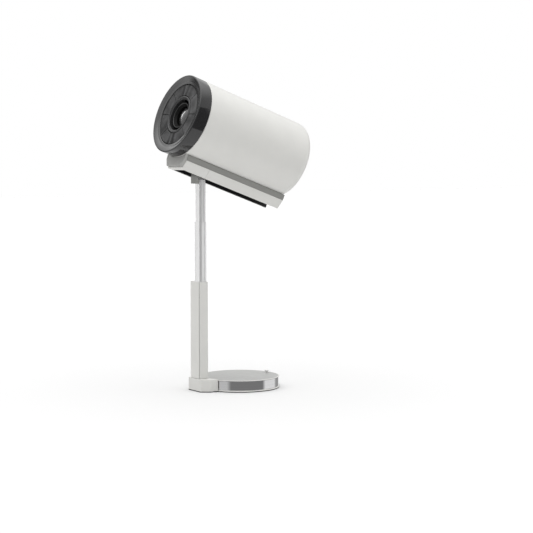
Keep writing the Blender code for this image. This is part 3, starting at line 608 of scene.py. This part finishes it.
def build_cradle():
    """Saddle in warm grey, front cap in a copy of the warm grey painted lighter as painted light on the cap, white
    tray and the black channel under it.
    """
    saddle_low, saddle_high = head_box("cradle_saddle")
    cap_low, cap_high = head_box("cradle_front_cap")
    front_low, front_high = head_box("tray_front")
    rear_low, rear_high = head_box("tray_rear")
    liner_low, liner_high = head_box("channel_liner")
    radius = head_span("body_shell")[2] + 3.0 * GAP
    neck, waist, bottom = saddle_high.y, front_high.y, front_low.z
    waist_height = front_high.z
    foot = 17.5 * MM

    def half_at(height):
        return foot + (waist - foot) * (height - bottom) / (waist_height - bottom)

    reach = math.degrees(math.asin(neck / radius))
    seat = arc((0.0, 0.0), radius, -90.0 + reach, -90.0 - reach, 40)
    outline = [*seat, (-waist, saddle_low.z), (waist, saddle_low.z)]
    add("saddle_surface", prism(outline, saddle_low.x, saddle_high.x, "X"), WARM_GREY, "head",
        ("cradle_saddle",), HEAD, bevel=0.25 * MM)
    cap_half = half_at(cap_low.z)
    cap_front = head_span("front_bezel")[1] + GAP
    seat = arc((0.0, 0.0), radius - 2.0 * GAP, -90.0 + reach, -90.0 - reach, 40)
    outline = [*seat, (-waist, waist_height), (-cap_half, cap_low.z), (cap_half, cap_low.z),
               (waist, waist_height)]
    # the cap takes the warm grey painted lighter, as painted light
    add("front_cap_surface", prism(outline, cap_front, cap_high.x, "X"), LIT_WARM_GREY, "head",
        ("cradle_front_cap",), HEAD, bevel=0.6 * MM)

    outer = liner_high.y
    pin_low, pin_high = head_box("tilt_pin")
    pin = ((pin_low.z + pin_high.z) / 2.0, (pin_low.x + pin_high.x) / 2.0)
    hole = (pin_high.x - pin_low.x) / 2.0 + GAP
    section = [(-waist, waist_height), (-foot, bottom), (foot, bottom), (waist, waist_height)]
    lip_top = cap_low.z - GAP
    lip_half = half_at(lip_top)
    lip = [(-lip_half, lip_top), (-foot, bottom), (foot, bottom), (lip_half, lip_top)]
    inside = saddle_low.x
    for name, start, end in (("tray_front", inside, front_high.x), ("tray_rear", rear_low.x, rear_high.x)):
        side, roof, below = outer + GAP, liner_high.z + GAP, -100.0 * MM
        slot = [(-side, roof), (-side, below), (side, below), (side, roof)]
        channel = guide(prism(slot, liner_low.x - GAP, 300.0 * MM, "X"))
        bore = rod(pin_low.y - GAP, pin_high.y + GAP, hole, pin)
        shapes = [("DIFFERENCE", channel), ("DIFFERENCE", bore)]
        if name == "tray_front":
            shapes.append(("UNION", guide(prism(lip, front_low.x, inside + 1.5 * MM, "X"))))
        add(f"{name}_surface", prism(section, start, end, "X"), WHITE, "head", (name,),
            HEAD, bevel=0.3 * MM, cutters=shapes)

    inner, roof = outer - 1.2 * MM, liner_high.z - 0.8 * MM
    section = [(-outer, liner_high.z), (-outer, liner_low.z), (-inner, liner_low.z), (-inner, roof),
               (inner, roof), (inner, liner_low.z), (outer, liner_low.z), (outer, liner_high.z)]
    bore = rod(-THROUGH, THROUGH, hole, pin)
    add("channel_surface", prism(section, liner_low.x, liner_high.x, "X"), BLACK, "head",
        ("channel_liner",), HEAD, bevel=0.2 * MM, cutters=[("DIFFERENCE", bore)])


# ---- head ---------------------------------------------------------------------------------

def build_casing():
    """White shell with a rounded rear edge, and the smoked bezel in front of it."""
    front, rear, radius = head_span("body_shell")
    wall, turn, rim, soft = 2.5 * MM, 13.0 * MM, 45.0 * MM, 0.9 * MM
    outside = arc((rear - turn, radius - turn), turn, 90.0, 0.0, 24)
    inside = arc((rear - turn, radius - turn), turn - wall, 0.0, 90.0, 16)
    edge = arc((front + soft, radius - soft), soft, 180.0, 90.0, 5)
    outline = [*edge, *outside, (rear, rim), (rear - wall, rim), *inside, (front, radius - wall)]
    add("shell_surface", turned(outline, BAND_STEPS), WHITE, "head", ("body_shell",), HEAD)

    front, rear, radius = head_span("front_bezel")
    nose, soft, recess = 1.5 * MM, 0.6 * MM, 46.8 * MM
    back = arc((rear - soft, radius - soft), soft, 0.0, 90.0, 5)
    brow = arc((nose, radius - nose), nose, 90.0, 180.0, 10)
    funnel = [(0.1 * MM, 57.4 * MM), (2.4 * MM, 50.9 * MM), (2.6 * MM, 50.6 * MM), (2.75 * MM, 50.2 * MM)]
    lip = [(2.85 * MM, 47.3 * MM), (3.0 * MM, 47.0 * MM), (3.3 * MM, recess)]
    outline = [*back, *brow, *funnel, *lip, (9.0 * MM, recess), (9.0 * MM, 53.0 * MM), (12.0 * MM, 56.9 * MM),
               (rear, 56.9 * MM)]
    add("bezel_surface", turned(outline, BAND_STEPS), SMOKED, "head", ("front_bezel",), HEAD,
        second=FUNNEL, where=lambda face: math.hypot(face.center.y, face.center.z) < 57.3 * MM)


def segment_faces(inner, outer, low, high, gap, count):
    """Plates of a divided ring, each a closed sector with parallel gaps to its neighbours."""
    builder = bmesh.new()
    steps = 18
    for index in range(count):
        centre = 360.0 * (index + 0.5) / count
        outline = []
        for radius, direction in ((outer, 1.0), (inner, -1.0)):
            half = 180.0 / count - math.degrees(math.asin(gap / 2.0 / radius))
            outline += arc((0.0, 0.0), radius, centre - direction * half, centre + direction * half, steps)
        prism(outline, low, high, "X", builder)
    return builder


def build_face():
    """Eight segments round the outlet, the outlet's ring, and what shows inside it."""
    front, rear, radius = head_span("segment_ring")
    inner, outer = 29.3 * MM, 45.5 * MM
    back = rear - 0.5 * MM
    add("segment_plates", segment_faces(inner, outer, front, back - 0.2 * MM, 0.75 * MM, 8), SEGMENT, "head",
        ("segment_ring",), HEAD, bevel=0.45 * MM)
    outline = [(back, inner), (rear, inner), (rear, radius), (back, radius)]
    add("segment_backing", turned(outline), DEEP_BLACK, "head", (), HEAD)
    frame_inner = 45.55 * MM
    proud, frame_outer = front - 0.25 * MM, radius + 0.25 * MM
    outline = [(back - 0.2 * MM, frame_inner), (front + 0.2 * MM, frame_inner),
               (proud, frame_inner + 0.3 * MM), (proud, radius - 0.1 * MM),
               (front + 0.3 * MM, frame_outer), (back - 0.2 * MM, frame_outer)]
    add("segment_frame", turned(outline), RING, "head", (), HEAD, bevel=0.12 * MM)

    front, rear, radius = head_span("outlet_ring")
    bore, back = 24.0 * MM, 9.0 * MM
    brow = arc((front + 1.7 * MM, 26.9 * MM), 1.75 * MM, 90.0, 270.0, 12)
    outline = [(back, radius - 0.1 * MM), (front + 1.8 * MM, radius - 0.1 * MM), *brow,
               (front + 2.2 * MM, bore), (rear, bore), (rear, 26.4 * MM), (back, 26.4 * MM)]
    add("outlet_ring_surface", turned(outline), RING, "head", ("outlet_ring",), HEAD)

    front, rear, radius = head_span("nozzle_duct")
    wall, steps = 2.0 * MM, 20
    wide = radius - wall
    inside = []
    for step in range(steps + 1):
        share = step / steps
        ease = 0.5 - 0.5 * math.cos(math.pi * share)
        inside.append((front + (rear - front) * share, bore + (wide - bore) * ease))
    outline = inside + [(x, r + wall) for x, r in reversed(inside)]
    add("nozzle_surface", turned(outline, 96), BLACK, "head", ("nozzle_duct",), HEAD)

    front, rear, radius = head_span("centre_barrel")
    seat, inner = 15.3 * MM, radius - 2.0 * MM
    stop, ledge, hole = 17.0 * MM, 18.2 * MM, 13.0 * MM
    outline = [(front + 0.5 * MM, radius), (rear, radius), (rear, inner), (ledge, inner), (ledge, hole),
               (stop, hole), (stop, seat), (front + 4.0 * MM, seat), (front + 3.6 * MM, seat + 0.5 * MM),
               (front + 0.5 * MM, seat + 2.9 * MM), (front, seat + 3.2 * MM), (front, radius - 0.4 * MM)]
    add("barrel_surface", turned(outline, 96), DEEP_BLACK, "head", ("centre_barrel",), HEAD,
        bevel=0.15 * MM, second=RING, where=lambda face: face.center.x < front + 0.6 * MM)

    front, rear, radius = head_span("dome_lens")
    curve = 28.75 * MM
    sweep = math.degrees(math.asin((radius - MM) / curve))
    dome = arc((front + curve, 0.0), curve, 180.0, 180.0 - sweep, 18)
    add("dome_surface", turned([*dome, (rear, radius), (rear, 0.0)], 96), DOME, "head",
        ("dome_lens",), HEAD)


def polar_grille(radii, angles, is_solid, low, high):
    """Flat grille of polar cells about the head's axis."""
    builder = bmesh.new()
    bands, sectors = len(radii) - 1, len(angles)
    corners = {}

    def corner(band, sector, along):
        key = (band, sector % sectors if radii[band] > 0.0 else 0, along)
        if key not in corners:
            angle = angles[sector % sectors]
            place = (along, radii[band] * math.cos(angle), radii[band] * math.sin(angle))
            corners[key] = builder.verts.new(place)
        return corners[key]

    def face(*points):
        unique = list(dict.fromkeys(points))
        if len(unique) > 2:
            builder.faces.new(unique)

    for band in range(bands):
        for sector in range(sectors):
            if not is_solid(band, sector):
                continue
            for along in (low, high):
                face(corner(band, sector, along), corner(band + 1, sector, along),
                     corner(band + 1, sector + 1, along), corner(band, sector + 1, along))
            if radii[band] > 0.0 and (band == 0 or not is_solid(band - 1, sector)):
                face(corner(band, sector, low), corner(band, sector + 1, low),
                     corner(band, sector + 1, high), corner(band, sector, high))
            if band == bands - 1 or not is_solid(band + 1, sector):
                face(corner(band + 1, sector, low), corner(band + 1, sector + 1, low),
                     corner(band + 1, sector + 1, high), corner(band + 1, sector, high))
            for side, neighbour in ((0, sector - 1), (1, sector + 1)):
                if not is_solid(band, neighbour % sectors):
                    edge = sector + side
                    face(corner(band, edge, low), corner(band + 1, edge, low),
                         corner(band + 1, edge, high), corner(band, edge, high))
    return builder


def build_rear():
    """Intake grille with fine round ribs, its backing ring and four screws."""
    front, rear, radius = head_span("rear_grille")
    spokes, cells, spoke_width = 8, 15, 4.0
    angles = []
    for spoke in range(spokes):
        start = 360.0 * spoke / spokes - spoke_width / 2.0
        span = 360.0 / spokes - spoke_width
        angles.append(math.radians(start))
        angles += [math.radians(start + spoke_width + span * cell / cells) for cell in range(cells)]
    radii = [r * MM for r in (0.0, 10.0, 16.0, 18.0, 24.0, 26.0, 32.0, 34.0, 39.5)] + [radius]
    solid_sectors = range(0, len(angles), cells + 1)
    builder = polar_grille(radii, angles, lambda band, sector: band % 2 == 0 or sector in solid_sectors,
                           front, rear)
    holes = bmesh.new()
    screws = [head_box(f"grille_screw_{index}") for index in range(1, 5)]
    centres = [((low.y + high.y) / 2.0, (low.z + high.z) / 2.0) for low, high in screws]
    near, far, hole = 190.0 * MM, 220.0 * MM, 1.5 * MM
    for centre in centres:
        turned([(near, 0.0), (near, hole), (far, hole), (far, 0.0)], 24, "X", centre, holes)
    add("grille_surface", builder, WARM_GREY, "head", ("rear_grille",), HEAD,
        bevel=0.3 * MM, cutters=[("DIFFERENCE", guide(holes))])
    for index, (centre, (low, high)) in enumerate(zip(centres, screws), 1):
        drive = rod(high.x - 0.9 * MM, 250.0 * MM, 1.0 * MM, centre, "X", 6)
        head = 1.2 * MM
        outline = [(low.x, 0.0), (low.x, head), (high.x - head, head), (high.x - head, 2.5 * MM),
                   (high.x - 0.5 * MM, 2.4 * MM), (high.x - 0.1 * MM, 1.7 * MM), (high.x, 0.0)]
        add(f"screw_surface_{index}", turned(outline, 32, "X", centre), STEEL, "head",
            (f"grille_screw_{index}",), HEAD, bevel=0.08 * MM, cutters=[("DIFFERENCE", drive)])
    front, rear, radius = head_span("rear_bulkhead")
    opening = 40.0 * MM
    outline = [(front, opening), (front, radius), (rear, radius), (rear, opening)]
    add("bulkhead_surface", turned(outline), BLACK, "head", ("rear_bulkhead",), HEAD,
        bevel=0.3 * MM)


# ---- frame nodes that keep their shape -----------------------------------------------------

KEPT_FINISHES = {
    "steel": STEEL,
    "rubber": RUBBER,
    "circuit_board": BOARD,
    "black_plastic": BLACK,
    "satin_grey": SEGMENT,
}


def finish_kept_nodes():
    """Give every frame node that still shows its procedural finish."""
    slots = {part["node"]: part["material_slot"] for part in frame["record"]["subparts"]}
    for name, node in frame["nodes"].items():
        if node.hide_render:
            continue
        material = COPPER if name == "motor" else KEPT_FINISHES[slots[name]]
        node.data.materials.clear()
        node.data.materials.append(material)


# ---- stage --------------------------------------------------------------------------------

def build_floor():
    """Pale floor with painted shade: a little darker near the object and lighter far from it."""
    builder = bmesh.new()
    bmesh.ops.create_grid(builder, x_segments=1, y_segments=1, size=8.0)
    mesh = bpy.data.meshes.new("floor")
    builder.to_mesh(mesh)
    builder.free()
    floor = bpy.data.objects.new("floor", mesh)
    bpy.context.scene.collection.objects.link(floor)
    floor.visible_glossy = False
    pale = Surface("floor_paper", (0.75, 0.75, 0.75), 0.9, specular=0.0)
    distance = pale.nodes.new("ShaderNodeVectorMath")
    distance.operation = "LENGTH"
    pale.links.new(pale.scaled((1.0, 1.0, 1.0)), distance.inputs[0])
    grain = pale.math("MULTIPLY", pale.noise((3.0, 3.0, 3.0), 2.0), 0.1)
    # painted shade: the floor's colour darkens towards the object at its middle
    pale.mottle(pale.math("MULTIPLY_ADD", distance.outputs["Value"], 0.45, grain), 0.02)
    mesh.materials.append(pale.material)


def build_camera():
    """Long lens on the -X, -Y side of the object, tilted a little down."""
    lens = bpy.data.cameras.new("camera")
    lens.lens = CAMERA_LENS
    lens.sensor_width = CAMERA_SENSOR
    lens.clip_start = 0.05
    lens.clip_end = 60.0
    camera = bpy.data.objects.new("camera", lens)
    bpy.context.scene.collection.objects.link(camera)
    camera.location = CAMERA_PLACE
    camera.rotation_euler = (math.radians(90.0) - CAMERA_DIP, 0.0, CAMERA_YAW)
    bpy.context.scene.camera = camera
    bpy.context.scene.view_settings.view_transform = "Standard"


def build_softbox():
    """Tall soft light that only the dome takes, for the crescent on its side."""
    lamp = bpy.data.lights.new("softbox", "AREA")
    lamp.shape = "RECTANGLE"
    lamp.size, lamp.size_y = 0.4, 1.3
    lamp.energy = 12.0
    softbox = bpy.data.objects.new("softbox", lamp)
    bpy.context.scene.collection.objects.link(softbox)
    lit = bpy.data.collections.new("softbox_receivers")
    lit.objects.link(bpy.data.objects["dome_surface"])
    softbox.light_linking.receiver_collection = lit
    toward = Vector((-0.23, 0.91, 0.31)).normalized()
    softbox.location = HEAD.translation + toward * 2.6
    softbox.rotation_euler = toward.to_track_quat("Z", "Y").to_euler()


# brightness round the horizon: share of a full turn from -X through -Y, and the level there
HORIZON = ((0.0, 0.50), (0.055, 0.50), (0.09, 0.18), (0.362, 0.18), (0.39, 0.72), (0.51, 0.72),
           (0.54, 0.30), (0.64, 0.32), (0.67, 0.80), (0.69, 0.80), (0.70, 0.10), (0.80, 0.10),
           (0.83, 0.74), (0.95, 0.74), (0.995, 0.50))
# by height, from 0 straight down to 1 straight up: the sky's and the floor's share, and the sky's level
SKY_SHARE = ((0.0, 0.0), (0.64, 0.0), (0.646, 1.0))
FLOOR_SHARE = ((0.0, 1.0), (0.2, 1.0), (0.21, 0.0))
SKY_LEVEL = ((0.0, 0.83), (0.78, 0.83), (0.93, 2.05))
FLOOR_LEVEL = 1.0


def ramp(nodes, stops):
    """Colour ramp with grey levels."""
    node = nodes.new("ShaderNodeValToRGB")
    elements = node.color_ramp.elements
    while len(elements) > 1:
        elements.remove(elements[-1])
    elements[0].position = stops[0][0]
    elements[0].color = (stops[0][1],) * 3 + (1.0,)
    for position, level in stops[1:]:
        elements.new(position).color = (level,) * 3 + (1.0,)
    return node


def build_studio():
    """White backdrop for the camera; soft overhead light and side panels for the object."""
    world = bpy.data.worlds.new("studio")
    bpy.context.scene.world = world
    world.use_nodes = True
    nodes, links = world.node_tree.nodes, world.node_tree.links
    nodes.clear()
    direction = nodes.new("ShaderNodeSeparateXYZ")
    links.new(nodes.new("ShaderNodeTexCoord").outputs["Generated"], direction.inputs[0])
    turn = nodes.new("ShaderNodeMath")
    turn.operation = "ARCTAN2"
    links.new(direction.outputs["Y"], turn.inputs[0])
    links.new(direction.outputs["X"], turn.inputs[1])
    share = nodes.new("ShaderNodeMapRange")
    share.inputs["From Min"].default_value = -math.pi
    share.inputs["From Max"].default_value = math.pi
    links.new(turn.outputs[0], share.inputs["Value"])
    horizon = ramp(nodes, HORIZON)
    links.new(share.outputs["Result"], horizon.inputs["Fac"])
    height = nodes.new("ShaderNodeMapRange")
    height.inputs["From Min"].default_value = -1.0
    links.new(direction.outputs["Z"], height.inputs["Value"])
    ramps = [ramp(nodes, stops) for stops in (SKY_SHARE, FLOOR_SHARE, SKY_LEVEL)]
    for node in ramps:
        links.new(height.outputs["Result"], node.inputs["Fac"])
    sky_share, floor_share, sky_level = (node.outputs["Color"] for node in ramps)
    above = nodes.new("ShaderNodeMix")
    links.new(sky_share, above.inputs[0])
    links.new(horizon.outputs["Color"], above.inputs[2])
    links.new(sky_level, above.inputs[3])
    blend = nodes.new("ShaderNodeMix")
    links.new(floor_share, blend.inputs[0])
    links.new(above.outputs[0], blend.inputs[2])
    blend.inputs[3].default_value = FLOOR_LEVEL
    studio = nodes.new("ShaderNodeBackground")
    links.new(blend.outputs[0], studio.inputs["Color"])
    white = nodes.new("ShaderNodeBackground")
    white.inputs["Color"].default_value = (1.0, 1.0, 1.0, 1.0)
    pick = nodes.new("ShaderNodeMixShader")
    links.new(nodes.new("ShaderNodeLightPath").outputs["Is Camera Ray"], pick.inputs[0])
    links.new(studio.outputs[0], pick.inputs[1])
    links.new(white.outputs[0], pick.inputs[2])
    output = nodes.new("ShaderNodeOutputWorld")
    links.new(pick.outputs[0], output.inputs["Surface"])


build_base()
build_foot()
build_mast()
build_bracket()
build_cradle()
build_casing()
build_face()
build_rear()
finish_kept_nodes()
build_floor()
build_camera()
build_studio()
build_softbox()
